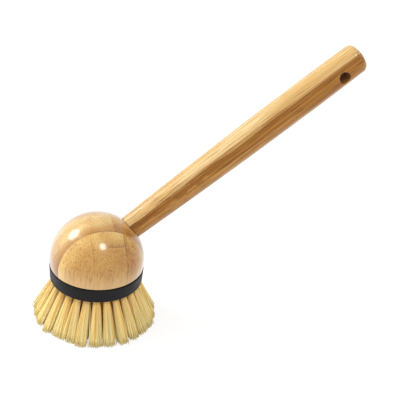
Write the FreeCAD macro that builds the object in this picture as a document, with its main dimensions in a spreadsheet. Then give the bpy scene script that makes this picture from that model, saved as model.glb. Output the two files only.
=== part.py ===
"""Dish brush: laminated bamboo ball, slanted bamboo handle and a screw-on head of fibre tufts.

Millimetres, +Z up. The origin is the middle of the trimmed bristle ends, and the handle leans towards +X.
"""
import FreeCAD, Part
import math
import os
import re
import Sketcher

# Driving dimensions, kept in the sheet under these names
SIZES = {
    # ball
    "ball_radius": 26.2,
    "ball_cut_drop": 3.6,
    "strip_width": 18.4,
    "core_half_depth": 10.4,
    "front_joint_offset": 7.1,
    "core_joint_past_socket": 0.97,
    "grain_turn": -9.0,
    # handle
    "handle_rise": 32.75,
    "handle_axis_lift": 3.15,
    "handle_reach": 187.4,
    "neck_radius": 7.0,
    "neck_showing": 1.5,
    "swell_radius": 9.05,
    "swell_before_end": 36.0,
    "swell_bow": 0.45,
    "tail_radius": 8.8,
    "tail_bow": 0.04,
    "tail_round": 4.0,
    "tail_dome": 1.2,
    "hang_hole_radius": 3.4,
    "hang_hole_from_end": 17.1,
    "hang_hole_round": 0.5,
    "glue_gap": 0.05,
    "socket_wall": 1.9,
    # threaded insert and boss
    "insert_radius": 9.5,
    "insert_cavity": 8.6,
    "insert_roof": 1.6,
    "boss_core_radius": 6.3,
    "boss_end_gap": 0.6,
    "boss_wall": 2.2,
    "boss_floor": 0.6,
    "thread_pitch": 4.5,
    "thread_rise": 0.9,
    "thread_root_width": 2.0,
    "thread_crest_width": 1.2,
    "thread_sink": 0.3,
    "thread_gap": 0.3,
    "thread_start": 1.6,
    "thread_turns": 1.1,
    "thread_extra_turns": 0.1,
    # gasket
    "gasket_thickness": 0.8,
    "gasket_inset": 0.75,
    # bristle plate
    "plate_overhang": 0.25,
    "plate_taper": 0.4,
    "plate_thickness": 7.8,
    "plate_edge_round": 0.6,
    "tuft_hole_radius": 1.6,
    "tuft_hole_depth": 5.5,
    "tuft_rim_margin": 4.4,
    # tufts
    "bristle_height": 24.4,
    "tip_flare": 6.4,
    "tuft_gap": 0.9,
    "tuft_bow": 0.45,
    "tuft_hole_gap": 0.1,
    "outer_count": 26,
    "second_count": 20,
    "third_count": 13,
    "fourth_count": 6,
    "centre_count": 1,
    # anchors
    "anchor_thickness": 0.4,
    "anchor_height": 1.6,
    "anchor_lift": 0.9,
    "anchor_gap": 0.08,
    # every cut runs this far past what it cuts
    "overrun": 2.0,
}

# Sizes that follow from the ones above
FORMULAS = {
    "plate_top": "bristle_height + plate_thickness",
    "ball_cut": "plate_top + gasket_thickness",
    "ball_centre": "ball_cut + ball_cut_drop",
    "ball_cut_radius": "sqrt(ball_radius^2 - ball_cut_drop^2)",
    "insert_height": "insert_cavity + insert_roof",
    "insert_bore_radius": "boss_core_radius + thread_gap",
    "boss_height": "gasket_thickness + insert_cavity - boss_end_gap",
    "thread_crest_radius": "boss_core_radius + thread_rise",
    "gasket_radius": "ball_cut_radius - gasket_inset",
    "gasket_bore_radius": "thread_crest_radius + thread_gap",
    "handle_foot_x": "-handle_axis_lift * sin(handle_rise)",
    "handle_foot_z": "ball_centre + handle_axis_lift * cos(handle_rise)",
    "insert_corner_run": "(insert_radius - handle_foot_x) * cos(handle_rise)",
    "insert_corner_climb": "(ball_cut + insert_height - handle_foot_z) * sin(handle_rise)",
    "socket_end": "insert_corner_run + insert_corner_climb + socket_wall",
    "socket_corner_x": "handle_foot_x + socket_end * cos(handle_rise) - neck_radius * sin(handle_rise)",
    "core_joint_offset": "socket_corner_x + core_joint_past_socket",
    "neck_end": "sqrt(ball_radius^2 - handle_axis_lift^2) + neck_showing",
    "plate_top_radius": "ball_cut_radius + plate_overhang",
    "plate_bottom_radius": "plate_top_radius - plate_taper",
    "outer_row_radius": "plate_bottom_radius - tuft_rim_margin",
    "tip_circle_radius": "plate_bottom_radius + tip_flare",
    "outer_lean": "atan((tip_circle_radius - outer_row_radius) / bristle_height)",
    "row_tip_pitch": "tip_circle_radius / row_steps * cos(outer_lean)",
    "outer_tip_pitch": "2 * tip_circle_radius * sin(180 / outer_count)",
    "second_tip_pitch": "2 * tip_circle_radius * second_row_share * sin(180 / second_count)",
    "third_tip_pitch": "2 * tip_circle_radius * third_row_share * sin(180 / third_count)",
    "fourth_tip_pitch": "2 * tip_circle_radius * fourth_row_share * sin(180 / fourth_count)",
    "tuft_pitch": "min(row_tip_pitch; outer_tip_pitch; second_tip_pitch; third_tip_pitch; fourth_tip_pitch)",
    "tuft_tip_radius": "(tuft_pitch - tuft_gap) / 2",
    "tuft_root_radius": "tuft_hole_radius - tuft_hole_gap",
    "tuft_root_depth": "tuft_hole_depth - tuft_hole_gap",
    "anchor_length": "2 * tuft_root_radius",
    # rows stand evenly between the outer one and the middle
    "row_steps": "4",
    "outer_row_share": "4 / row_steps",
    "second_row_share": "3 / row_steps",
    "third_row_share": "2 / row_steps",
    "fourth_row_share": "1 / row_steps",
    "centre_row_share": "0 / row_steps",
}
ROWS = ("outer", "second", "third", "fourth", "centre")
SINGLE_ROWS = ("outer", "second")
FULL_TURN = 360
UPRIGHT = FreeCAD.Vector(0, 0, 1)
CROSSWISE = FreeCAD.Vector(0, 1, 0)
SAME_PLACE = 1e-6
# How far a quarter circle stands out from its chord, for a radius of one
QUARTER_BOW_SHARE = 1 - math.sqrt(0.5)
# Numbers that a sketch gives to the ends of a line, the middle of a circle and its own axes
START_INDEX, END_INDEX, MIDDLE_INDEX = 1, 2, 3
LEVEL_AXIS_INDEX, UPRIGHT_AXIS_INDEX = -1, -2
SKETCH_ORIGIN = (LEVEL_AXIS_INDEX, START_INDEX)

doc = FreeCAD.newDocument("dish_brush")
sheet = doc.addObject("Spreadsheet::Sheet", "sizes")
for line, (name, number) in enumerate(SIZES.items(), start=1):
    sheet.set(f"A{line}", name)
    sheet.set(f"B{line}", str(number))
    sheet.setAlias(f"B{line}", name)
doc.recompute()


def bound(formula):
    """The formula with each name in it pointing at its cell."""

    def cell(word):
        name = word.group()
        if name in FORMULAS:
            return f"({bound(FORMULAS[name])})"
        return f"sizes.{name}" if name in SIZES else name

    return re.sub("[a-z_]+", cell, formula)


def value(formula):
    """The number that a formula comes to."""
    result = sheet.evalExpression(bound(formula))
    return float(getattr(result, "Value", result))


def bind(item, **formulas):
    """Ties properties of a document object to formulas."""
    for name, formula in formulas.items():
        item.setExpression(name, bound(formula))


def new_body(label, height="0"):
    """An empty body whose origin stands on the Z axis at this height."""
    body = doc.addObject("PartDesign::Body", label)
    body.Placement.Base.z = value(height)
    return body


def origin_feature(body, role):
    return next(feature for feature in body.Origin.OriginFeatures if feature.Role == role)


def new_sketch(body, name, plane="XZ_Plane"):
    sketch = body.newObject("Sketcher::SketchObject", f"{body.Name}_{name}")
    sketch.AttachmentSupport = (origin_feature(body, plane), [""])
    sketch.MapMode = "FlatFace"
    return sketch


def end_at(sketch, geometry, point):
    """Which end of a line or arc lies on the point."""
    at_start = sketch.getPoint(geometry, START_INDEX).distanceToPoint(point) < SAME_PLACE
    return START_INDEX if at_start else END_INDEX


def place_point(sketch, geometry, end, corner):
    """Fixes one end of a line or arc at a corner, whose two distances are formulas."""
    axes = (UPRIGHT_AXIS_INDEX, LEVEL_AXIS_INDEX)
    for kind, axis, formula in zip(("DistanceX", "DistanceY"), axes, corner):
        distance = value(formula)
        if abs(distance) < SAME_PLACE:
            sketch.addConstraint(Sketcher.Constraint("PointOnObject", geometry, end, axis))
            continue
        ends = (*SKETCH_ORIGIN, geometry, end) if distance > 0 else (geometry, end, *SKETCH_ORIGIN)
        signed = formula if distance > 0 else f"-({formula})"
        index = sketch.addConstraint(Sketcher.Constraint(kind, *ends, abs(distance)))
        sketch.setExpression(f"Constraints[{index}]", bound(signed))


def draw_outline(sketch, corners, bows=None):
    """Closed outline through corners given as formulas.

    bows holds, for a side that is an arc, how far it stands out to the left of the way along it.
    """
    bows = bows or {}
    points = [FreeCAD.Vector(value(across), value(up), 0) for across, up in corners]
    sides = range(len(points))
    following = [(side + 1) % len(points) for side in sides]
    for side in sides:
        start = points[side]
        end = points[following[side]]
        if side not in bows:
            sketch.addGeometry(Part.LineSegment(start, end))
            continue
        left = UPRIGHT.cross(end - start).normalize()
        crown = (start + end) / 2 + left * value(bows[side])
        sketch.addGeometry(Part.Arc(start, crown, end))
    for side in sides:
        corner = points[following[side]]
        here = end_at(sketch, side, corner)
        there = end_at(sketch, following[side], corner)
        sketch.addConstraint(Sketcher.Constraint("Coincident", side, here, following[side], there))
    for side in sides:
        place_point(sketch, side, end_at(sketch, side, points[side]), corners[side])
    for side, bow in bows.items():
        (start_x, start_y), (end_x, end_y) = corners[side], corners[following[side]]
        chord_squared = f"(({end_x} - ({start_x}))^2 + ({end_y} - ({start_y}))^2)"
        radius = f"({chord_squared} / 4 + ({bow})^2) / (2 * abs({bow}))"
        index = sketch.addConstraint(Sketcher.Constraint("Radius", side, value(radius)))
        sketch.setExpression(f"Constraints[{index}]", bound(radius))


def draw_axis(sketch, side):
    """Construction line along one straight side of the outline, to turn the outline about."""
    line = Part.LineSegment(sketch.getPoint(side, START_INDEX), sketch.getPoint(side, END_INDEX))
    axis = sketch.addGeometry(line, True)
    for end in (START_INDEX, END_INDEX):
        sketch.addConstraint(Sketcher.Constraint("Coincident", axis, end, side, end))


def draw_circle(sketch, radius, across="0"):
    """Circle on the sketch's level axis, at a distance across from its origin."""
    circle = Part.Circle(FreeCAD.Vector(value(across), 0, 0), UPRIGHT, value(radius))
    geometry = sketch.addGeometry(circle)
    place_point(sketch, geometry, MIDDLE_INDEX, (across, "0"))
    index = sketch.addConstraint(Sketcher.Constraint("Radius", geometry, value(radius)))
    sketch.setExpression(f"Constraints[{index}]", bound(radius))


def add_turned(body, name, sketch, axis, kind="PartDesign::Revolution"):
    """Full turn of a sketch about one of its own axes."""
    feature = body.newObject(kind, f"{body.Name}_{name}")
    feature.Profile = sketch
    feature.ReferenceAxis = (sketch, [axis])
    feature.Angle = FULL_TURN
    return feature


def add_through_cut(body, name, sketch):
    """Cut right through the body, both ways from the sketch."""
    cut = body.newObject("PartDesign::Pocket", f"{body.Name}_{name}")
    cut.Profile = sketch
    cut.SideType = "Symmetric"
    cut.Type = "ThroughAll"
    return cut


def add_thread(body, name, sketch, kind, turns):
    """Right-hand helix of a sketch about the body's upright axis."""
    thread = body.newObject(kind, f"{body.Name}_{name}")
    thread.Profile = sketch
    thread.ReferenceAxis = (sketch, ["V_Axis"])
    thread.Mode = "pitch-turns-angle"
    bind(thread, Pitch="thread_pitch", Turns=turns)
    return thread


def thread_outline(middle, gap):
    """Corners of the thread's section: its middle height, and the room left all round it."""
    root_half = f"(thread_root_width / 2 + {gap})"
    crest_half = f"(thread_crest_width / 2 + {gap})"
    inner = "boss_core_radius - thread_sink"
    crest = f"thread_crest_radius + {gap}"
    return [
        (inner, f"{middle} - {root_half}"),
        (crest, f"{middle} - {crest_half}"),
        (crest, f"{middle} + {crest_half}"),
        (inner, f"{middle} + {root_half}"),
    ]


def handle_placement(along):
    """Place on the handle's axis, a distance along from its foot, with X along the axis."""
    turn = FreeCAD.Rotation(CROSSWISE, -value("handle_rise"))
    foot = FreeCAD.Vector(value("handle_foot_x"), 0, value("handle_foot_z"))
    return FreeCAD.Placement(foot + turn.multVec(FreeCAD.Vector(value(along), 0, 0)), turn)


def make_handle():
    """Turned bamboo handle: straight neck, gentle swell, rounded tail, cross-drilled hole."""
    body = new_body("handle")
    inner_end = "socket_end + glue_gap"
    tail_start = "handle_reach - tail_dome - tail_round"
    profile = new_sketch(body, "profile")
    corners = [
        (inner_end, "0"),
        (inner_end, "neck_radius"),
        ("neck_end", "neck_radius"),
        ("handle_reach - swell_before_end", "swell_radius"),
        (tail_start, "tail_radius"),
        ("handle_reach - tail_dome", "tail_radius - tail_round"),
        ("handle_reach", "0"),
    ]
    end_half_width = "(tail_radius - tail_round)"
    dome_radius = f"(({end_half_width}^2 + tail_dome^2) / (2 * tail_dome))"
    dome_half_chord = f"(sqrt({end_half_width}^2 + tail_dome^2) / 2)"
    bows = {
        2: "swell_bow",
        3: "tail_bow",
        4: f"tail_round * {QUARTER_BOW_SHARE}",
        5: f"{dome_radius} - sqrt({dome_radius}^2 - {dome_half_chord}^2)",
    }
    draw_outline(profile, corners, bows)
    add_turned(body, "turning", profile, "H_Axis")
    hole = new_sketch(body, "hole")
    draw_circle(hole, "hang_hole_radius", "handle_reach - hang_hole_from_end")
    drilled = add_through_cut(body, "drilling", hole)
    doc.recompute()
    rounded = body.newObject("PartDesign::Fillet", "handle_hole_rounding")
    rounded.Base = (drilled, hole_rims(drilled.Shape))
    bind(rounded, Radius="hang_hole_round")
    body.Placement = handle_placement("0")
    return body


def hole_rims(shape):
    """Names of the edges where the cross hole comes out of the handle."""
    radius = value("hang_hole_radius")
    along = value("handle_reach - hang_hole_from_end")
    rims = []
    for number, edge in enumerate(shape.Edges, start=1):
        box = edge.BoundBox
        on_hole = abs(box.XMin + radius - along) < SAME_PLACE or abs(box.XMax - radius - along) < SAME_PLACE
        if on_hole and box.ZLength > radius:
            rims.append(f"Edge{number}")
    return rims


def make_bored_ball():
    """The turned ball, cut flat below, with the sockets for the handle and the threaded insert."""
    ball = doc.addObject("Part::Sphere", "ball_block")
    bind(ball, Radius="ball_radius", Angle1="-asin(ball_cut_drop / ball_radius)")
    ball.Placement.Base.z = value("ball_centre")
    socket = doc.addObject("Part::Cylinder", "handle_socket")
    bind(socket, Radius="neck_radius + glue_gap", Height="ball_radius + overrun")
    upright_to_level = FreeCAD.Placement(FreeCAD.Vector(), FreeCAD.Rotation(CROSSWISE, FULL_TURN / 4))
    socket.Placement = handle_placement("socket_end").multiply(upright_to_level)
    recess = doc.addObject("Part::Cylinder", "insert_recess")
    bind(recess, Radius="insert_radius + glue_gap", Height="insert_height + glue_gap + overrun")
    recess.Placement.Base.z = value("ball_cut - overrun")
    sockets = doc.addObject("Part::MultiFuse", "ball_sockets")
    sockets.Shapes = [socket, recess]
    bored = doc.addObject("Part::Cut", "bored_ball")
    bored.Base = ball
    bored.Tool = sockets
    return bored


def make_ball_strips():
    """Upright bamboo strips that the ball is glued up from: three layers, each cut across by its joints."""
    bored = make_bored_ball()
    far = "(ball_radius + overrun)"
    layers = {
        "front": (f"-{far}", "-core_half_depth"),
        "core": ("-core_half_depth", "core_half_depth"),
        "back": ("core_half_depth", far),
    }
    joints = {
        "front": ("-front_joint_offset", "strip_width - front_joint_offset"),
        "core": ("core_joint_offset",),
        "back": ("front_joint_offset",),
    }
    names = {2: ("left", "right"), 3: ("left", "middle", "right")}
    turn = FreeCAD.Rotation(UPRIGHT, value("grain_turn"))
    strips = []
    for layer, (near_side, far_side) in layers.items():
        edges = (f"-{far}", *joints[layer], far)
        for left, right, side in zip(edges, edges[1:], names[len(edges) - 1]):
            block = doc.addObject("Part::Box", f"{layer}_{side}_block")
            bind(block, Length=f"{right} - ({left})", Width=f"{far_side} - ({near_side})")
            bind(block, Height=f"2 * {far}")
            corner = FreeCAD.Vector(value(left), value(near_side), -value(far))
            height = FreeCAD.Vector(0, 0, value("ball_centre"))
            block.Placement = FreeCAD.Placement(turn.multVec(corner) + height, turn)
            strip = doc.addObject("Part::Common", f"ball_{layer}_{side}")
            strip.Base = bored
            strip.Tool = block
            strips.append(strip)
    return strips


def make_insert():
    """Cup with the female thread, glued into the underside of the ball, mouth down."""
    body = new_body("thread_insert", "ball_cut")
    profile = new_sketch(body, "profile")
    corners = [
        ("insert_bore_radius", "0"),
        ("insert_radius", "0"),
        ("insert_radius", "insert_height"),
        ("0", "insert_height"),
        ("0", "insert_cavity"),
        ("insert_bore_radius", "insert_cavity"),
    ]
    draw_outline(profile, corners)
    add_turned(body, "cup", profile, "V_Axis")
    groove = new_sketch(body, "thread_section")
    draw_outline(groove, thread_outline("(thread_start - thread_pitch)", "thread_gap"))
    groove_turns = "1 + thread_turns + thread_extra_turns"
    add_thread(body, "thread", groove, "PartDesign::SubtractiveHelix", groove_turns)
    return body


def make_gasket():
    """Flat ring between the ball and the plate."""
    body = new_body("gasket", "plate_top")
    ring = new_sketch(body, "ring", "XY_Plane")
    draw_circle(ring, "gasket_radius")
    draw_circle(ring, "gasket_bore_radius")
    pad = body.newObject("PartDesign::Pad", "gasket_pad")
    pad.Profile = ring
    bind(pad, Length="gasket_thickness")
    return body


def tuft_axis(row, base):
    """Formula maker for one row: the corner so far along its tuft's axis, upwards, and so far off it."""
    row_radius = f"(outer_row_radius * {row}_row_share)"
    spread = f"((tip_circle_radius - outer_row_radius) * {row}_row_share)"
    lean = f"atan({spread} / bristle_height)"

    def corner(along, off):
        across = f"{row_radius} - ({along}) * sin({lean}) + ({off}) * cos({lean})"
        up = f"{base} + ({along}) * cos({lean}) + ({off}) * sin({lean})"
        return across, up

    return corner, lean


def make_plate():
    """Bristle plate with its tuft holes below and the threaded boss above."""
    body = new_body("bristle_plate", "bristle_height")
    profile = new_sketch(body, "profile")
    corners = [
        ("0", "0"),
        ("plate_bottom_radius - plate_edge_round", "0"),
        ("plate_bottom_radius", "plate_edge_round"),
        ("plate_top_radius", "plate_thickness - plate_edge_round"),
        ("plate_top_radius - plate_edge_round", "plate_thickness"),
        ("boss_core_radius", "plate_thickness"),
        ("boss_core_radius", "plate_thickness + boss_height"),
        ("boss_core_radius - boss_wall", "plate_thickness + boss_height"),
        ("boss_core_radius - boss_wall", "plate_thickness + boss_floor"),
        ("0", "plate_thickness + boss_floor"),
    ]
    rounding = f"-plate_edge_round * {QUARTER_BOW_SHARE}"
    draw_outline(profile, corners, {1: rounding, 3: rounding})
    add_turned(body, "disc", profile, "V_Axis")
    ridge = new_sketch(body, "thread_section")
    ridge_start = "(plate_thickness + gasket_thickness + thread_start)"
    draw_outline(ridge, thread_outline(ridge_start, "0"))
    add_thread(body, "thread", ridge, "PartDesign::AdditiveHelix", "thread_turns")
    for row in ROWS:
        corner, _ = tuft_axis(row, "0")
        section = new_sketch(body, f"{row}_hole_section")
        hole_corners = [
            corner("-overrun", "0"),
            corner("tuft_hole_depth", "0"),
            corner("tuft_hole_depth", "tuft_hole_radius"),
            corner("-overrun", "tuft_hole_radius"),
        ]
        draw_outline(section, hole_corners)
        draw_axis(section, 0)
        hole = add_turned(body, f"{row}_hole", section, "Axis0", "PartDesign::Groove")
        if value(f"{row}_count") == 1:
            continue
        pattern = body.newObject("PartDesign::PolarPattern", f"{row}_holes")
        pattern.Originals = [hole]
        pattern.Axis = (origin_feature(body, "Z_Axis"), [""])
        pattern.Angle = FULL_TURN
        bind(pattern, Occurrences=f"{row}_count")
        body.Tip = pattern
    return body


def make_tuft(row):
    """One tuft of a row: round root in its hole, slot for its anchor, flared and cut level at the end."""
    body = new_body(f"{row}_tuft")
    corner, lean = tuft_axis(row, "bristle_height")
    mouth = f"-tuft_hole_radius * tan({lean})"
    tip = f"-(bristle_height / cos({lean}) + tuft_tip_radius * tan({lean}) + overrun)"
    profile = new_sketch(body, "profile")
    corners = [
        corner(tip, "0"),
        corner("tuft_root_depth", "0"),
        corner("tuft_root_depth", "tuft_root_radius"),
        corner(mouth, "tuft_root_radius"),
        corner(tip, "tuft_tip_radius"),
    ]
    draw_outline(profile, corners, {3: "tuft_bow"})
    draw_axis(profile, 0)
    add_turned(body, "fibres", profile, "Axis0")
    slot = new_sketch(body, "anchor_slot")
    slot_half = "(anchor_thickness / 2 + anchor_gap)"
    slot_top = "tuft_root_depth - anchor_lift + anchor_gap"
    slot_bottom = "tuft_root_depth - anchor_lift - anchor_height - anchor_gap"
    slot_corners = [
        corner(slot_bottom, f"-{slot_half}"),
        corner(slot_bottom, slot_half),
        corner(slot_top, slot_half),
        corner(slot_top, f"-{slot_half}"),
    ]
    draw_outline(slot, slot_corners)
    add_through_cut(body, "anchor_cut", slot)
    trim = new_sketch(body, "trim", "XY_Plane")
    draw_circle(trim, "tip_circle_radius + 2 * tuft_tip_radius + overrun")
    level_cut = body.newObject("PartDesign::Pocket", f"{body.Name}_level_cut")
    level_cut.Profile = trim
    level_cut.Type = "ThroughAll"
    return body


def make_anchor(row):
    """Flat wire that a row's tuft is folded over, lying across the tuft's hole."""
    anchor = doc.addObject("Part::Box", f"{row}_anchor")
    bind(anchor, Length="anchor_thickness", Width="anchor_length", Height="anchor_height")
    corner, lean = tuft_axis(row, "bristle_height")
    across, up = corner("tuft_root_depth - anchor_lift - anchor_height", "-anchor_thickness / 2")
    start = FreeCAD.Vector(value(across), -value("anchor_length") / 2, value(up))
    anchor.Placement = FreeCAD.Placement(start, FreeCAD.Rotation(CROSSWISE, -value(lean)))
    return anchor


def copies_round(master, row):
    """Links to a master, one for each place round its row."""
    count = round(value(f"{row}_count"))
    copies = []
    for place in range(count):
        copy = doc.addObject("App::Link", f"{row}_{master.Name}_{place + 1:02d}")
        copy.LinkedObject = master
        copy.LinkTransform = True
        turn = FreeCAD.Rotation(UPRIGHT, place * FULL_TURN / count)
        copy.LinkPlacement = FreeCAD.Placement(FreeCAD.Vector(), turn)
        copy.Label = f"{master.Name}_{place + 1:02d}"
        copies.append(copy)
    return copies


def make_group(label, members):
    group = doc.addObject("Part::Compound", label)
    group.Links = members
    return group


def make_tufts_and_anchors():
    """Every tuft of the two outer rows by itself, the inner rows as one group, and all the anchors."""
    tufts = {row: copies_round(make_tuft(row), row) for row in ROWS}
    anchors = [copy for row in ROWS for copy in copies_round(make_anchor(row), row)]
    single = [tuft for row in SINGLE_ROWS for tuft in tufts[row]]
    inner = [tuft for row in ROWS if row not in SINGLE_ROWS for tuft in tufts[row]]
    return [*single, make_group("inner_tufts", inner), make_group("tuft_anchors", anchors)]


def check_document():
    """Stops on any object that failed, and on any cut that took nothing away."""
    for item in doc.Objects:
        if {"Invalid", "Error"} & set(item.State):
            raise RuntimeError(f"{item.Label} failed: {item.State}")
        if item.isDerivedFrom("PartDesign::Feature") and item.BaseFeature is not None:
            if abs(item.Shape.Volume - item.BaseFeature.Shape.Volume) < SAME_PLACE:
                raise RuntimeError(f"{item.Label} changed nothing")


def write_parts(parts):
    shapes = {part.Label: Part.getShape(part) for part in parts}
    for label, shape in shapes.items():
        if shape.isNull() or not shape.isValid():
            raise RuntimeError(f"{label} has no valid shape")
    os.makedirs("parts", exist_ok=True)
    for label, shape in shapes.items():
        shape.exportStep(f"parts/{label}.step")
    print(f"{len(shapes)} parts written")


brush_parts = [
    make_handle(),
    *make_ball_strips(),
    make_insert(),
    make_gasket(),
    make_plate(),
    *make_tufts_and_anchors(),
]
doc.recompute()
check_document()
write_parts(brush_parts)
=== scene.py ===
"""Looks of the dish brush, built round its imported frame. Metres, +Z up, same frame as the CAD."""
import math
import random
import bpy
from mathutils import Matrix, Vector


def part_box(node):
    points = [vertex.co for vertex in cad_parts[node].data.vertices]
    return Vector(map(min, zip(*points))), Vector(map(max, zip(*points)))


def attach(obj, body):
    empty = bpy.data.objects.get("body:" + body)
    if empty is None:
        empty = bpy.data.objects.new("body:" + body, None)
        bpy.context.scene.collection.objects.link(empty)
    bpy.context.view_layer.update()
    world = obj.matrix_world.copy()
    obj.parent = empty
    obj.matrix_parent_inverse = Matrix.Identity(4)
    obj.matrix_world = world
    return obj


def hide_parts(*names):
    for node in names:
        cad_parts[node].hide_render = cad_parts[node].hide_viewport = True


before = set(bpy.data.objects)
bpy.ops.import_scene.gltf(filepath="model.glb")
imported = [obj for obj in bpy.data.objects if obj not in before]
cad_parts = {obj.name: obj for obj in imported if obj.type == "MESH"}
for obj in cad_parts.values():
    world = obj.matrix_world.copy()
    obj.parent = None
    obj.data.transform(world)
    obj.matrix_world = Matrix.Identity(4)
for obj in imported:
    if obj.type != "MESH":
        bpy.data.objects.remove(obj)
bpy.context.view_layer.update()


def colour(red, green, blue):
    """A screen colour, 0 to 255, as the linear colour that shaders take."""
    linear = []
    for part in (red / 255, green / 255, blue / 255):
        linear.append(part / 12.92 if part <= 0.04045 else ((part + 0.055) / 1.055) ** 2.4)
    return (*linear, 1.0)


# Camera, fitted to the photograph
IMAGE_PIXELS = 400
FOCAL_PIXELS = 1350
SENSOR_WIDTH_MM = 36
CAMERA_AZIMUTH = math.radians(-28.2)
CAMERA_RISE = math.radians(31.0)
CAMERA_ROLL = math.radians(5.1)
CAMERA_DISTANCE = 0.75
AIM_RIGHT_OF_BALL = 0.05728
AIM_ABOVE_BALL = 0.03212

# Studio. Each softbox has its direction along the camera's right, up and back, its distance from the
# ball, its width, its power in watts and whether glossy surfaces mirror it.
SOFTBOXES = {
    "key_light": ((-0.69, 0.72, 0.10), 1.0, 0.40, 4.0, True),
    "window_light": ((-0.80, 0.58, 0.15), 1.4, 1.5, 3.2, True),
    "side_light": ((-0.92, 0.05, 0.39), 2.0, 0.9, 5.6, False),
    "fill_light": ((0.305, 0.485, 0.82), 3.0, 0.8, 21.0, True),
}
WHITE = (1, 1, 1, 1)
WORLD_LIGHT = 0.70
FLOOR_HALF_WIDTH = 3.0
FLOOR_GREY = (0.8, 0.8, 0.8, 1)
# The floor as the camera sees it: darker grey that keeps the shadow, and a glow that lifts it to white
SEEN_FLOOR_GREY = (0.45, 0.45, 0.45, 1)
SEEN_FLOOR_GLOW = 0.62

# Places taken from the frame
UP = Vector((0, 0, 1))
BALL_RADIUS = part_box("ball_back_left")[1].y
BALL_CENTRE = UP * (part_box("ball_core_left")[1].z - BALL_RADIUS)
PLATE_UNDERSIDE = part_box("bristle_plate")[0].z

# Handle: its axis starts at the foot, beside the ball's centre, and climbs towards +X
HANDLE_RISE = math.radians(32.75)
HANDLE_AXIS_LIFT = 0.00315
HANDLE_FOOT = BALL_CENTRE + HANDLE_AXIS_LIFT * Vector((-math.sin(HANDLE_RISE), 0, math.cos(HANDLE_RISE)))
NECK_RADIUS = 0.007
HANG_HOLE_RADIUS = 0.0034
HANG_HOLE_ALONG = 0.1703

# A band is a range of values, from and to, and mostly also what it gives at its two ends.

# Joints between the ball's glued strips, in the block's own turned frame
GRAIN_TURN = math.radians(-9.0)
JOINT_HALF_WIDTH = 0.00025
LAYER_JOINT = 0.0104
LAYER_JOINT_SHOWS = 0.6
# Across the block, where the layer joint's glue line fades on its left and on its right
LAYER_JOINT_LEFT_BAND = (-0.02, 0.0, 0.2, 1.0)
LAYER_JOINT_RIGHT_BAND = (0.011, 0.0116, 1.0, 0.15)
# Each joint across a layer, with how plainly its glue line shows
STRIP_JOINTS = {
    "front": ((-0.0071, 0.25), (0.0113, 0.6)),
    "core": ((0.0068, 0.15),),
    "back": ((0.0071, 0.4),),
}
STRIP_JOINT_WEAR_BAND = (0.35, 0.6, 0.3, 1.0)
SOCKET_LINE_HALF_WIDTH = 0.0004
SOCKET_LINE_SHOWS = 0.55
# A line is full up to the first of these shares of its half width, and gone at the second
LINE_FULL, LINE_GONE = 0.4, 1.6
# Distance from the ball's middle plane over which a layer's wood passes from the cane's inside to its skin
SKIN_BANDS = {"front": (0.0104, 0.022), "core": (0.003, 0.0104, 0.0, 1.4), "back": (0.0104, 0.022)}

# Ridges that cross a bamboo cane at its knots: height over the ball's centre and fall towards +X
KNOTS = {"ball_front_middle": (0.0192, 0.2), "ball_back_left": (0.009, -0.1)}
KNOT_WAVE_DEPTH = 0.0008
KNOT_ACROSS_BAND = (-0.002, 0.004)
KNOT_LINE_HALF_WIDTH = 0.0003
KNOT_LINE_SHOWS = 0.35
# The shade that stands on the line and dies away upwards
KNOT_SHADE_FOOT_BAND = (-0.0002, 0.0003)
KNOT_SHADE_TOP_BAND = (0.0003, 0.0028, 1.0, 0.0)
KNOT_SHADE_SHOWS = 0.2

# Noises: scale per metre, how far Z is pressed together to draw them out along it, detail and roughness
BROAD_NOISE = (150, 0.10, 3.0, 0.5)
STREAK_NOISE = (620, 0.01, 4.0, 0.7)
FINE_NOISE = (1250, 0.006, 3.0, 0.7)
CROWDING_NOISE = (330, 0.1, 2.0, 0.5)
JOINT_WEAR_NOISE = (130, 1.0, 2.0, 0.5)
KNOT_NOISE = (220, 1.0, 2.0, 0.5)
WAVER_NOISE = (1000, 0.01, 4.0, 0.7)
CLOUD_NOISE = (180, 1.0, 4.0, 0.5)
SPARK_NOISE = (4200, 1.0, 2.0, 0.5)
GRIT_NOISE = (2600, 1.0, 3.0, 0.5)
DRAWN_WIRE_NOISE = (5200, 0.05, 2.0, 0.5)
FIBRE_NOISE = (3800, 0.06, 2.0, 0.5)

# Bamboo: each wood's dark, middle and light tone, and the tone of its fibre bundles
HONEY = (colour(182, 128, 58), colour(218, 178, 106), colour(230, 200, 136), colour(132, 82, 30))
AMBER = (colour(184, 130, 56), colour(214, 169, 90), colour(230, 192, 114), colour(134, 78, 14))
ROSE = (colour(168, 108, 30), colour(198, 142, 50), colour(214, 166, 70), colour(122, 60, 0))
# The handle's light and shade strips: the shade strip's darker tone is partly the wood's own and partly
# painted shade
HANDLE_LIGHT = (colour(190, 142, 76), colour(221, 183, 119), colour(237, 210, 156), colour(146, 94, 38))
HANDLE_SHADE = (colour(130, 76, 10), colour(176, 118, 42), colour(204, 150, 78), colour(94, 48, 6))
# Fibre bundles of each wood: how many in a metre and how plainly they show
BUNDLES = {
    HONEY: (1250, 0.4),
    AMBER: (1300, 0.85),
    ROSE: (900, 0.95),
    HANDLE_LIGHT: (1250, 0.6),
    HANDLE_SHADE: (1250, 0.6),
}
STRIP_TONES = {
    "ball_front_left": AMBER,
    "ball_front_middle": AMBER,
    "ball_front_right": ROSE,
    "ball_core_left": HONEY,
    "ball_core_right": ROSE,
    "ball_back_left": AMBER,
    "ball_back_right": HONEY,
}
SEAM = colour(96, 54, 22)
# Painted light: the tone that the front and back layers turn to towards the bottom
PAINTED_LIGHT_FOOT = colour(240, 204, 146)
DARK_FOOT = colour(200, 160, 92)
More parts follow.
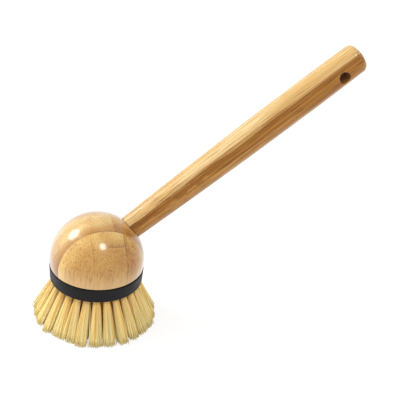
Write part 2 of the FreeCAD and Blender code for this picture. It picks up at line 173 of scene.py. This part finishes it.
# What the foot of each layer turns to, by which blend, how far, and up to which height over the
# ball's centre. The pale foot of the front and back layers is painted light on the ball's underside
FOOT_TONES = {
    "front": (PAINTED_LIGHT_FOOT, "MIX", 0.45, 0.008),
    "core": (DARK_FOOT, "MULTIPLY", 0.9, 0.021),
    "back": (PAINTED_LIGHT_FOOT, "MIX", 0.3, 0.008),
}
FOOT_BOTTOM = -0.004
# How a strip's seed moves it through the pattern, so that no two strips look alike
SEED_STEP = (0.137, 0.071, 0.213)
BROAD_SHARE, STREAK_SHARE = 0.45, 0.55
TONE_LIFT = 0.07
SKIN_TONE_DROP = 0.1
DARK_TO_MIDDLE_BAND = (0.36, 0.50)
MIDDLE_TO_LIGHT_BAND = (0.50, 0.64)
SKIN_DARKENS = 0.5
SKIN_CROWDS = 0.2
CROWDING_BAND = (0.29, 0.57)
BUNDLE_BAND = (0.12, 0.40, 1.0, 0.0)
BUNDLE_ALONG = 0.05
FINE_BAND = (0.46, 0.62)
# How narrow a wood's streaks are and how strongly they show
BALL_STREAKS = {"fineness": 1.8, "streaking": 0.4}
HANDLE_STREAKS = {"fineness": 1.5, "streaking": 0.6}

# Lacquer: the wood's relief and the part of it that the coat follows, and each piece's finish
WOOD_RELIEF = 0.08
COAT_RELIEF = 0.03
WOOD_RELIEF_DEPTH = 0.0002
BALL_LACQUER = {"specular": 0.25, "coat": 0.95, "coat_roughness": 0.13, "sheen": 1.0}
HANDLE_LACQUER = {"specular": 0.1, "coat": 0.4, "coat_roughness": 0.2, "sheen": 0.5}

# Handle's looks: a light and a dark strip, with their joint turned about the axis and a wandering edge.
# The dark strip lies on the lower side, and its darker tone is partly the wood's own and partly painted
# shade
HANDLE_JOINT_TURN = math.radians(44)
HANDLE_JOINT_WANDER = 0.014
HANDLE_JOINT_BAND = (-0.0012, 0.0012)
# Partly painted light and shade: each strip is darker near the joint and lighter away from it, the dark
# strip towards its lower edge
LIGHT_STRIP_SKIN_AND_PAINTED_SHADE_BAND = (0.0, 0.004, 0.6, 0.1)
SHADE_STRIP_SKIN_AND_PAINTED_SHADE_BAND = (-0.007, -0.0005)
LIGHT_SEED, SHADE_SEED = 3, 8
HOLE_TONE = colour(112, 56, 20)
HOLE_TONE_SHOWS = 0.6
HOLE_TONE_REACH = 1.12
BALL_SEAM_SHOWS = 0.55

# Black plastic, rubber and steel
FINE_RELIEF_DEPTH = 0.0001
PLATE_TONES = (colour(17, 17, 19), colour(23, 23, 25))
PLATE_ROUGHNESS = 0.45
INSERT_TONES = (colour(40, 41, 44), colour(48, 49, 52))
INSERT_ROUGHNESS = 0.55
ROUGHNESS_SPREAD = 0.06
CLOUD_TONE_BAND = (0.35, 0.7)
CLOUD_ROUGHNESS_BAND = (0.3, 0.7)
PLASTIC_RELIEF = 0.18
RUBBER_TONES = (colour(14, 14, 14), colour(26, 26, 25))
RUBBER_RELIEF = 0.25
STEEL_TONES = (colour(150, 150, 152), colour(190, 190, 190))
STEEL_ROUGHNESS_BAND = (0.2, 0.8, 0.28, 0.42)

# Fibres' looks. The bands of roots, inner rows and tips are by height over the tips, or by reach: the share
# of the way from the brush's axis out to the outer row.
FIBRE_TONES = (colour(246, 212, 124), colour(250, 234, 174))
ORANGE_FIBRE = colour(246, 184, 84)
ORANGE_CHANCE_BAND = (0.0, 0.12, 0.5, 0.0)
# Painted shade: warm orange towards the roots, under the plate
PAINTED_ROOT_SHADE = colour(254, 176, 58)
PAINTED_ROOT_SHADE_BAND = (0.010, PLATE_UNDERSIDE, 0.0, 0.22)
# Painted shade: the inner rows turn warm orange where they sit in shade behind the outer tufts, less so at
# the tips
PAINTED_INNER_SHADE = colour(255, 186, 70)
PAINTED_INNER_SHADE_REACH_BAND = (0.8, 1.0, 0.8, 0.0)
PAINTED_INNER_SHADE_HEIGHT_BAND = (0.002, 0.012)
# Painted light: the fibres pale towards their tips
PAINTED_TIP_LIGHT = colour(255, 241, 174)
PAINTED_TIP_LIGHT_BAND = (0.002, 0.014, 0.4, 0.0)
FIBRE_STREAK = colour(246, 184, 80)
FIBRE_STREAK_BAND = (0.4, 0.8, 0.0, 0.2)
FIBRE_RELIEF = 0.2

# Tufts: how many in each row, and each row's shares of the outer row's distance from the axis
ROWS = {"outer": 26, "second": 20, "third": 13, "fourth": 6, "centre": 1}
ROOT_SHARES = {"outer": 1.0, "second": 0.75, "third": 0.5, "fourth": 0.25, "centre": 0.0}
TIP_SHARES = {"outer": 1.0, "second": 0.8, "third": 0.55, "fourth": 0.28, "centre": 0.0}
ON_FLOOR = 1e-5

# Fibres of one tuft
FIBRES = {"outer": 120, "second": 120, "third": 44, "fourth": 44, "centre": 44}
FIBRE_SIDES = 5
FIBRE_STEPS = 7
FIBRE_ROOT_RADIUS = 0.00012
FIBRE_TIP_RADIUS = 0.0002
FULL_RADIUS_AT = 0.5
TUFT_ROOT_RADIUS = 0.0015
TUFT_TIP_HALF_DEPTH = 0.0024
TUFT_TIP_HALF_WIDTH = 0.0034
TUFT_BOW = 0.0002
# How much of its full width a tuft gains soon after its hole, and how soon
EARLY_SPREADS = {"outer": 0.1, "second": 0.45, "third": 0.2, "fourth": 0.2, "centre": 0.2}
EARLY_SPREAD_POWER = 9
TIP_WANDER = 0.0005
TIP_SCATTER = 0.00022
FAN_VARIATION = 0.18
ROOT_DEPTH = 0.002
ROOT_NARROWS_TO = 0.8
CUT_UNEVENNESS = 0.0015
CUT_SLANT = 0.1
FIBRE_SWAY = 0.00015
STRAY_SHARE = 0.04
STRAY_REACH = 0.0009
GOLDEN_ANGLE = math.pi * (3 - math.sqrt(5))
FIBRE_SEED = 26

draw = random.Random(FIBRE_SEED)


class Graph:
    """Nodes of one material or world, with short calls for the kinds used most."""

    def __init__(self, owner, shader="Principled BSDF"):
        owner.use_nodes = True
        self.owner = owner
        self.tree = owner.node_tree
        self.shader = self.tree.nodes[shader]

    def feed(self, socket, value):
        if isinstance(value, bpy.types.NodeSocket):
            self.tree.links.new(value, socket)
        else:
            socket.default_value = value

    def add(self, kind, inputs=None, output=0, **settings):
        """The output of a new node, with its settings made and its inputs fed."""
        node = self.tree.nodes.new(f"ShaderNode{kind}")
        for name, setting in settings.items():
            setattr(node, name, setting)
        for socket, value in (inputs or {}).items():
            self.feed(node.inputs[socket], value)
        return node.outputs[output]

    def surface(self, **values):
        """Sets the shader's sockets; a socket's spaces are written as underscores."""
        for name, value in values.items():
            self.feed(self.shader.inputs[name.replace("_", " ")], value)
        return self.owner

    def math(self, operation, first, second=0.0):
        return self.add("Math", {0: first, 1: second}, operation=operation)

    def times(self, first, second):
        return self.math("MULTIPLY", first, second)

    def stretch(self, vector, factors):
        return self.add("VectorMath", {0: vector, 1: factors}, operation="MULTIPLY")

    def shifted(self, vector, amount):
        return self.add("VectorMath", {0: vector, 1: amount}, operation="ADD")

    def length(self, vector):
        return self.add("VectorMath", {0: vector}, output="Value", operation="LENGTH")

    def part(self, vector, axis):
        return self.add("SeparateXYZ", {0: vector}, output=axis)

    def off_axis(self, vector):
        """Distance from the Z axis of some coordinates."""
        return self.length(self.stretch(vector, (1, 1, 0)))

    def noise(self, vector, noise, finer=1.0):
        scale, along, detail, roughness = noise
        inputs = {
            "Vector": self.stretch(vector, (1, 1, along)),
            "Scale": scale * finer,
            "Detail": detail,
            "Roughness": roughness,
        }
        return self.add("TexNoise", inputs)

    def band(self, value, low, high, start=0.0, end=1.0):
        """Smooth climb from start to end as the value goes from low to high."""
        inputs = {0: value, 1: low, 2: high, 3: start, 4: end}
        return self.add("MapRange", inputs, interpolation_type="SMOOTHSTEP")

    def mix(self, factor, first, second, blend="MIX"):
        """Mix of two colours; the numbers are those of the node's colour sockets."""
        inputs = {0: factor, 6: first, 7: second}
        return self.add("Mix", inputs, output=2, data_type="RGBA", blend_type=blend)

    def relief(self, height, strength, depth):
        return self.add("Bump", {"Height": height, "Strength": strength, "Distance": depth})

    def own_place(self):
        """The piece's own coordinates, which are those of the whole brush at rest."""
        return self.add("TexCoord", output="Object")

    def place(self, location, rotation=(0, 0, 0)):
        """The piece's own coordinates, seen from a frame at this place."""
        inputs = {"Vector": self.own_place(), "Location": location, "Rotation": rotation}
        return self.add("Mapping", inputs, vector_type="TEXTURE")

    def handle_place(self):
        """Coordinates with Z along the handle's axis from its foot, Y level and X downwards across it."""
        return self.place(HANDLE_FOOT, (0, math.pi / 2 - HANDLE_RISE, 0))

    def near_plane(self, value, place, half_width):
        """One at a plane, falling to zero a little way off it."""
        off = self.math("ABSOLUTE", self.math("SUBTRACT", value, place))
        return self.band(off, LINE_FULL * half_width, LINE_GONE * half_width, 1.0, 0.0)

    def seen_directly(self):
        """One for what is seen, also mirrored or through glass, and zero for light that falls on things."""
        seen = self.add("LightPath", output="Is Camera Ray")
        for ray in ("Is Glossy Ray", "Is Transmission Ray"):
            seen = self.math("MAXIMUM", seen, self.add("LightPath", output=ray))
        return seen


def material_graph(name):
    return Graph(bpy.data.materials.new(name))


def bamboo_grain(graph, grain, tones, seed, skin, fineness, streaking):
    """Colour and height of bamboo whose fibres run along Z of the grain coordinates.

    The pattern hardly changes along the fibres, so a cut across them shows dots and a cut along them
    streaks. skin is one on the side that was the cane's outside, where the wood is darker and its fibres
    stand closer; on the handle it also carries painted shade across each strip. fineness makes the streaks
    narrower and streaking makes them stronger.
    """
    dark, middle, light, bundle_tone = tones
    bundles_per_metre, bundles_show = BUNDLES[tones]
    own = graph.shifted(grain, tuple(seed * step for step in SEED_STEP))
    broad = graph.noise(own, BROAD_NOISE)
    streak = graph.noise(own, STREAK_NOISE, fineness)
    fine = graph.noise(own, FINE_NOISE, fineness)
    mottled = graph.math("ADD", graph.times(broad, BROAD_SHARE), graph.times(streak, STREAK_SHARE))
    lifted = graph.math("ADD", mottled, TONE_LIFT)
    tone = graph.math("SUBTRACT", lifted, graph.times(skin, SKIN_TONE_DROP))
    wood = graph.mix(graph.band(tone, *DARK_TO_MIDDLE_BAND), dark, middle)
    wood = graph.mix(graph.band(tone, *MIDDLE_TO_LIGHT_BAND), wood, light)
    wood = graph.mix(graph.times(skin, SKIN_DARKENS), wood, dark)
    bundle_place = graph.stretch(own, (1, 1, BUNDLE_ALONG))
    cells = graph.add("TexVoronoi", {"Vector": bundle_place, "Scale": bundles_per_metre})
    crowded = graph.math("ADD", graph.noise(own, CROWDING_NOISE), graph.times(skin, SKIN_CROWDS))
    bundles = graph.times(graph.band(cells, *BUNDLE_BAND), graph.band(crowded, *CROWDING_BAND))
    wood = graph.mix(graph.times(bundles, bundles_show), wood, bundle_tone)
    wood = graph.mix(graph.band(fine, *FINE_BAND, 0.0, streaking), wood, dark)
    height = graph.math("SUBTRACT", fine, bundles)
    return wood, height


def lacquered(graph, wood, height, specular, coat, coat_roughness, sheen):
    """Clear lacquer over wood: the wood keeps its fine relief, which the coat only just follows."""
    return graph.surface(
        Base_Color=wood,
        Normal=graph.relief(height, WOOD_RELIEF, WOOD_RELIEF_DEPTH),
        Roughness=0.26,
        Specular_IOR_Level=specular,
        Coat_Weight=coat,
        Coat_Roughness=coat_roughness,
        Coat_IOR=1.5,
        Coat_Normal=graph.relief(height, COAT_RELIEF, WOOD_RELIEF_DEPTH),
        Sheen_Weight=sheen,
        Sheen_Roughness=0.3,
    )


def knot_lines(graph, grain, knot_height, knot_fall):
    """A knot's ridge line and the shade over it, each with how plainly it shows."""
    across = graph.part(grain, "X")
    wavy = graph.times(graph.noise(grain, KNOT_NOISE), KNOT_WAVE_DEPTH)
    fallen = graph.math("ADD", graph.times(across, knot_fall), wavy)
    climb = graph.math("ADD", graph.part(grain, "Z"), fallen)
    level = graph.math("SUBTRACT", climb, knot_height + KNOT_WAVE_DEPTH / 2)
    fading = graph.band(across, *KNOT_ACROSS_BAND)
    line = graph.near_plane(level, 0.0, KNOT_LINE_HALF_WIDTH)
    shade = graph.times(
        graph.band(level, *KNOT_SHADE_FOOT_BAND),
        graph.band(level, *KNOT_SHADE_TOP_BAND),
    )
    return [(graph.times(line, fading), KNOT_LINE_SHOWS), (graph.times(shade, fading), KNOT_SHADE_SHOWS)]


def ball_strip_material(node, tones, seed):
    """One upright strip of the ball: its own bamboo, dark glue lines at its joints and round the handle."""
    graph = material_graph(f"bamboo_{node}")
    grain = graph.place(BALL_CENTRE, (0, 0, GRAIN_TURN))
    across = graph.part(grain, "X")
    deep = graph.math("ABSOLUTE", graph.part(grain, "Y"))
    layer = node.split("_")[1]
    skin = graph.band(deep, *SKIN_BANDS[layer])
    wood, height = bamboo_grain(graph, grain, tones, seed, skin, **BALL_STREAKS)
    layer_fading = graph.times(
        graph.band(across, *LAYER_JOINT_LEFT_BAND),
        graph.band(across, *LAYER_JOINT_RIGHT_BAND),
    )
    layer_line = graph.times(graph.near_plane(deep, LAYER_JOINT, JOINT_HALF_WIDTH), layer_fading)
    lines = [(layer_line, LAYER_JOINT_SHOWS)]
    worn = graph.band(graph.noise(grain, JOINT_WEAR_NOISE), *STRIP_JOINT_WEAR_BAND)
    for joint, shows in STRIP_JOINTS[layer]:
        lines.append((graph.times(graph.near_plane(across, joint, JOINT_HALF_WIDTH), worn), shows))
    from_handle = graph.off_axis(graph.handle_place())
    socket_line = graph.near_plane(from_handle, NECK_RADIUS, SOCKET_LINE_HALF_WIDTH)
    lines.append((socket_line, SOCKET_LINE_SHOWS))
    if node in KNOTS:
        lines.extend(knot_lines(graph, grain, *KNOTS[node]))
    for line, shows in lines:
        wood = graph.mix(graph.times(line, shows), wood, SEAM)
    # painted light on the front and back layers: paler towards the bottom
    foot_tone, foot_blend, foot_share, foot_top = FOOT_TONES[layer]
    foot = graph.band(graph.part(grain, "Z"), FOOT_BOTTOM, foot_top, foot_share, 0.0)
    wood = graph.mix(foot, wood, foot_tone, foot_blend)
    return lacquered(graph, wood, height, **BALL_LACQUER)


def handle_material():
    """Handle: a light strip above a darker one, streaked along, with a raw hole and a seam at the ball.

    The darker strip, and the tones across both strips, are partly painted light and shade.
    """
    graph = material_graph("bamboo_handle")
    place = graph.handle_place()
    level = graph.times(graph.part(place, "Y"), math.cos(HANDLE_JOINT_TURN))
    down = graph.times(graph.part(place, "X"), math.sin(HANDLE_JOINT_TURN))
    over_joint = graph.math("SUBTRACT", level, down)
    waver = graph.math("SUBTRACT", graph.noise(place, WAVER_NOISE), 0.5)
    edge = graph.math("ADD", over_joint, graph.times(waver, HANDLE_JOINT_WANDER))
    # partly painted shade: the light strip darkens towards the joint and pales towards its top
    light_strip_skin_and_painted_shade = graph.band(edge, *LIGHT_STRIP_SKIN_AND_PAINTED_SHADE_BAND)
    light_wood, height = bamboo_grain(graph, place, HANDLE_LIGHT, LIGHT_SEED, light_strip_skin_and_painted_shade, **HANDLE_STREAKS)
    # partly painted shade: the dark strip is darkest under the joint and lighter towards its lower edge
    shade_strip_skin_and_painted_shade = graph.band(edge, *SHADE_STRIP_SKIN_AND_PAINTED_SHADE_BAND)
    shade_wood, _ = bamboo_grain(graph, place, HANDLE_SHADE, SHADE_SEED, shade_strip_skin_and_painted_shade, **HANDLE_STREAKS)
    wood = graph.mix(graph.band(edge, *HANDLE_JOINT_BAND), shade_wood, light_wood)
    from_hole = graph.length(graph.stretch(graph.shifted(place, (0, 0, -HANG_HOLE_ALONG)), (1, 0, 1)))
    in_hole = graph.band(from_hole, HANG_HOLE_RADIUS, HANG_HOLE_RADIUS * HOLE_TONE_REACH, 1.0, 0.0)
    wood = graph.mix(graph.times(in_hole, HOLE_TONE_SHOWS), wood, HOLE_TONE)
    at_ball = graph.near_plane(graph.length(graph.place(BALL_CENTRE)), BALL_RADIUS, 2 * JOINT_HALF_WIDTH)
    wood = graph.mix(graph.times(at_ball, BALL_SEAM_SHOWS), wood, SEAM)
    return lacquered(graph, wood, height, **HANDLE_LACQUER)


def moulded_plastic(name, tones, roughness):
    """Black moulded plastic: fine spark texture, faint cloudy sheen."""
    graph = material_graph(name)
    own = graph.own_place()
    cloud = graph.noise(own, CLOUD_NOISE)
    smoothest, roughest = roughness - ROUGHNESS_SPREAD, roughness + ROUGHNESS_SPREAD
    return graph.surface(
        Base_Color=graph.mix(graph.band(cloud, *CLOUD_TONE_BAND), *tones),
        Normal=graph.relief(graph.noise(own, SPARK_NOISE), PLASTIC_RELIEF, FINE_RELIEF_DEPTH),
        Roughness=graph.band(cloud, *CLOUD_ROUGHNESS_BAND, smoothest, roughest),
        Specular_IOR_Level=0.18,
    )


def rubber_material():
    """Dull black rubber with a gritty surface."""
    graph = material_graph("gasket_rubber")
    grit = graph.noise(graph.own_place(), GRIT_NOISE)
    return graph.surface(
        Base_Color=graph.mix(grit, *RUBBER_TONES),
        Normal=graph.relief(grit, RUBBER_RELIEF, FINE_RELIEF_DEPTH),
        Roughness=0.8,
    )


def steel_material():
    """Bright steel with fine drawing marks."""
    graph = material_graph("anchor_steel")
    drawn = graph.noise(graph.own_place(), DRAWN_WIRE_NOISE)
    return graph.surface(
        Base_Color=graph.mix(drawn, *STEEL_TONES),
        Metallic=1.0,
        Roughness=graph.band(drawn, *STEEL_ROUGHNESS_BAND),
    )


def fibre_material():
    """Straw-coloured plant fibre, streaked along.

    Every fibre has its own tone. It is warmer towards its root and in the inner rows, which is painted
    shade, and paler towards its tip, which is painted light.
    """
    graph = material_graph("fibre")
    own = graph.own_place()
    climb = graph.part(own, "Z")
    chance = graph.add("NewGeometry", output="Random Per Island")
    straw = graph.mix(chance, *FIBRE_TONES)
    straw = graph.mix(graph.band(chance, *ORANGE_CHANCE_BAND), straw, ORANGE_FIBRE)
    mouth, tip = tuft_line("outer")
    lean = graph.times(climb, (mouth.x - tip.x) / mouth.z)
    reach = graph.math("DIVIDE", graph.off_axis(own), graph.math("ADD", lean, tip.x))
    # painted shade on the inner rows, fading out towards the tips
    inner = graph.times(graph.band(reach, *PAINTED_INNER_SHADE_REACH_BAND), graph.band(climb, *PAINTED_INNER_SHADE_HEIGHT_BAND))
    straw = graph.mix(inner, straw, PAINTED_INNER_SHADE)
    # painted shade towards the roots
    straw = graph.mix(graph.band(climb, *PAINTED_ROOT_SHADE_BAND), straw, PAINTED_ROOT_SHADE)
    # painted light towards the tips
    straw = graph.mix(graph.band(climb, *PAINTED_TIP_LIGHT_BAND), straw, PAINTED_TIP_LIGHT)
    streak = graph.noise(own, FIBRE_NOISE)
    return graph.surface(
        Base_Color=graph.mix(graph.band(streak, *FIBRE_STREAK_BAND), straw, FIBRE_STREAK),
        Normal=graph.relief(streak, FIBRE_RELIEF, FINE_RELIEF_DEPTH),
        Roughness=0.55,
        Specular_IOR_Level=0.06,
    )


def disc_place(index, count, turn):
    """Even place on a disc of radius one, by sunflower order."""
    reach = math.sqrt((index + 0.5) / count)
    angle = index * GOLDEN_ANGLE + turn
    return Vector((reach * math.cos(angle), reach * math.sin(angle), 0))


def squared(place):
    """A place on a disc moved out to a square with well-rounded corners."""
    quartic = (place.x**4 + place.y**4) ** 0.25
    return place * (place.length / quartic)


def scattered(spread):
    """A random step on the level."""
    return Vector((draw.gauss(0, spread), draw.gauss(0, spread), 0))


def add_fibre(points, faces, path):
    """Thin closed tube along a path, cut level at its free end."""
    first = len(points)
    last = len(path) - 1
    for step, here in enumerate(path):
        ahead = (path[min(step + 1, last)] - path[max(step - 1, 0)]).normalized()
        if step == 0:
            side = ahead.orthogonal().normalized()
        else:
            side = (side - ahead * side.dot(ahead)).normalized()
        other = ahead.cross(side)
        grown = min(1.0, step / (FULL_RADIUS_AT * last))
        radius = FIBRE_ROOT_RADIUS + (FIBRE_TIP_RADIUS - FIBRE_ROOT_RADIUS) * grown
        for corner in range(FIBRE_SIDES):
            turn = 2 * math.pi * corner / FIBRE_SIDES
            point = here + radius * (math.cos(turn) * side + math.sin(turn) * other)
            if step == last:
                point += ahead * ((here.z - point.z) / ahead.z)
            points.append(point)
    for step in range(last):
        for corner in range(FIBRE_SIDES):
            beside = (corner + 1) % FIBRE_SIDES
            low = first + step * FIBRE_SIDES
            high = low + FIBRE_SIDES
            faces.append((low + corner, low + beside, high + beside, high + corner))
    faces.append(tuple(first + corner for corner in reversed(range(FIBRE_SIDES))))
    faces.append(tuple(first + last * FIBRE_SIDES + corner for corner in range(FIBRE_SIDES)))


def tuft_line(row):
    """Mouth and tip of a row's tuft in the plane of its lean, measured on the outer row's first tuft."""
    vertices = [vertex.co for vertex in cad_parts["outer_tuft_01"].data.vertices]
    tip_x = [co.x for co in vertices if co.z < ON_FLOOR]
    tip = Vector(((min(tip_x) + max(tip_x)) / 2, 0, 0))
    root_points = [co for co in vertices if co.z > PLATE_UNDERSIDE]
    root_middle = sum(root_points, Vector()) / len(root_points)
    slope = (root_middle.x - tip.x) / root_middle.z
    mouth = Vector((tip.x + slope * PLATE_UNDERSIDE, 0, PLATE_UNDERSIDE))
    return Vector((mouth.x * ROOT_SHARES[row], 0, mouth.z)), Vector((tip.x * TIP_SHARES[row], 0, 0))


def add_tuft(points, faces, row, place):
    """All fibres of one tuft: straight, fanned out from its hole to a flat trimmed wedge."""
    mouth, tip = tuft_line(row)
    turn = Matrix.Rotation(2 * math.pi * place / ROWS[row], 3, "Z")
    count = FIBRES[row]
    spin = draw.uniform(0, 2 * math.pi)
    tip = tip + scattered(TIP_WANDER)
    slant = draw.uniform(-CUT_SLANT, CUT_SLANT)
    fan = draw.uniform(1 - FAN_VARIATION, 1 + FAN_VARIATION)
    tip_half_size = Vector((TUFT_TIP_HALF_DEPTH, fan * TUFT_TIP_HALF_WIDTH, 0))
    knee = mouth.lerp(tip, 0.5) + Vector((2 * TUFT_BOW * ROOT_SHARES[row], 0, 0))
    for index in range(count):
        inside = disc_place(index, count, spin)
        near = inside * TUFT_ROOT_RADIUS
        far = squared(inside) * tip_half_size + scattered(TIP_SCATTER)
        if draw.random() < STRAY_SHARE:
            far += scattered(STRAY_REACH)
        cut = UP * max(0.0, CUT_UNEVENNESS * draw.random() ** 2 + slant * far.y)
        sway = scattered(FIBRE_SWAY)
        path = [mouth + near * ROOT_NARROWS_TO + (mouth - tip).normalized() * ROOT_DEPTH]
        for step in range(FIBRE_STEPS):
            share = step / (FIBRE_STEPS - 1)
            line = mouth.lerp(knee, share).lerp(knee.lerp(tip + cut, share), share)
            early = 1 - share - (1 - share) ** EARLY_SPREAD_POWER
            spread = share + EARLY_SPREADS[row] * early
            path.append(line + near.lerp(far, spread) + sway * math.sin(math.pi * share))
        add_fibre(points, faces, [turn @ point for point in path])


def make_fibres(name, tufts, material, node):
    """One piece with the fibres of some tufts, in place of their solid."""
    points = []
    faces = []
    for row, place in tufts:
        add_tuft(points, faces, row, place)
    mesh = bpy.data.meshes.new(name)
    mesh.from_pydata(points, [], faces)
    mesh.materials.append(material)
    # the sides of the tubes are smooth and their ends flat
    mesh.polygons.foreach_set("use_smooth", [len(face) == 4 for face in faces])
    piece = bpy.data.objects.new(name, mesh)
    bpy.context.scene.collection.objects.link(piece)
    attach(piece, "bristle_head")
    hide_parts(node)


def make_tufts():
    """Fibres in place of every tuft solid: one piece per tuft of the outer rows, one for the inner rows."""
    material = fibre_material()
    for row in ("outer", "second"):
        for place in range(ROWS[row]):
            node = f"{row}_tuft_{place + 1:02d}"
            make_fibres(f"{node}_fibres", [(row, place)], material, node)
    inner = [(row, place) for row in ("third", "fourth", "centre") for place in range(ROWS[row])]
    make_fibres("inner_tuft_fibres", inner, material, "inner_tufts")


def dress_frame():
    """Materials for the solids that stay as they are."""
    materials = {
        node: ball_strip_material(node, tones, seed)
        for seed, (node, tones) in enumerate(STRIP_TONES.items(), start=1)
    }
    materials["handle"] = handle_material()
    materials["bristle_plate"] = moulded_plastic("plate_plastic", PLATE_TONES, PLATE_ROUGHNESS)
    materials["thread_insert"] = moulded_plastic("insert_plastic", INSERT_TONES, INSERT_ROUGHNESS)
    materials["gasket"] = rubber_material()
    materials["tuft_anchors"] = steel_material()
    for node, material in materials.items():
        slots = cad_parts[node].data.materials
        slots.clear()
        slots.append(material)


def camera_axes():
    """Camera's right, up and back directions, with its roll."""
    back = Vector(
        (
            math.sin(CAMERA_AZIMUTH) * math.cos(CAMERA_RISE),
            -math.cos(CAMERA_AZIMUTH) * math.cos(CAMERA_RISE),
            math.sin(CAMERA_RISE),
        )
    )
    level = Vector((math.cos(CAMERA_AZIMUTH), math.sin(CAMERA_AZIMUTH), 0))
    turn = Matrix.Rotation(CAMERA_ROLL, 3, back)
    return turn @ level, turn @ back.cross(level), back


def make_camera():
    """Camera at the photograph's viewing angle."""
    right, up, back = camera_axes()
    data = bpy.data.cameras.new("camera")
    data.sensor_width = SENSOR_WIDTH_MM
    data.lens = SENSOR_WIDTH_MM * FOCAL_PIXELS / IMAGE_PIXELS
    camera = bpy.data.objects.new("camera", data)
    aim = BALL_CENTRE + AIM_RIGHT_OF_BALL * right + AIM_ABOVE_BALL * up
    axes = Matrix((right, up, back)).transposed().to_4x4()
    camera.matrix_world = Matrix.Translation(aim + back * CAMERA_DISTANCE) @ axes
    bpy.context.scene.collection.objects.link(camera)
    bpy.context.scene.camera = camera


def make_softbox(name, direction, distance, width, power, mirrored):
    """Round area light that faces the ball. One that isn't mirrored lights things without a reflection."""
    right, up, back = camera_axes()
    towards = (direction[0] * right + direction[1] * up + direction[2] * back).normalized()
    data = bpy.data.lights.new(name, "AREA")
    data.shape = "DISK"
    data.size = width
    data.energy = power
    light = bpy.data.objects.new(name, data)
    light.location = BALL_CENTRE + towards * distance
    light.rotation_mode = "QUATERNION"
    light.rotation_quaternion = towards.to_track_quat("Z", "Y")
    light.visible_glossy = mirrored
    bpy.context.scene.collection.objects.link(light)


def make_floor():
    """Pale floor that keeps a soft shadow and goes to white in the light."""
    half = FLOOR_HALF_WIDTH
    mesh = bpy.data.meshes.new("floor")
    corners = [(-half, -half, 0), (half, -half, 0), (half, half, 0), (-half, half, 0)]
    mesh.from_pydata(corners, [], [(0, 1, 2, 3)])
    graph = material_graph("floor")
    seen = graph.seen_directly()
    graph.surface(
        Base_Color=graph.mix(seen, FLOOR_GREY, SEEN_FLOOR_GREY),
        Roughness=1.0,
        Specular_IOR_Level=0.0,
        Emission_Color=WHITE,
        Emission_Strength=graph.times(seen, SEEN_FLOOR_GLOW),
    )
    mesh.materials.append(graph.owner)
    floor = bpy.data.objects.new("floor", mesh)
    bpy.context.scene.collection.objects.link(floor)


def make_world():
    """White surroundings for the eye and for reflections, plainer light for the rest."""
    world = bpy.data.worlds.new("studio")
    bpy.context.scene.world = world
    graph = Graph(world, "Background")
    strength = graph.band(graph.seen_directly(), 0.0, 1.0, WORLD_LIGHT, 1.0)
    graph.surface(Color=WHITE, Strength=strength)


make_camera()
make_world()
make_floor()
for softbox, values in SOFTBOXES.items():
    make_softbox(softbox, *values)
dress_frame()
make_tufts()
bpy.context.scene.view_settings.view_transform = "Standard"
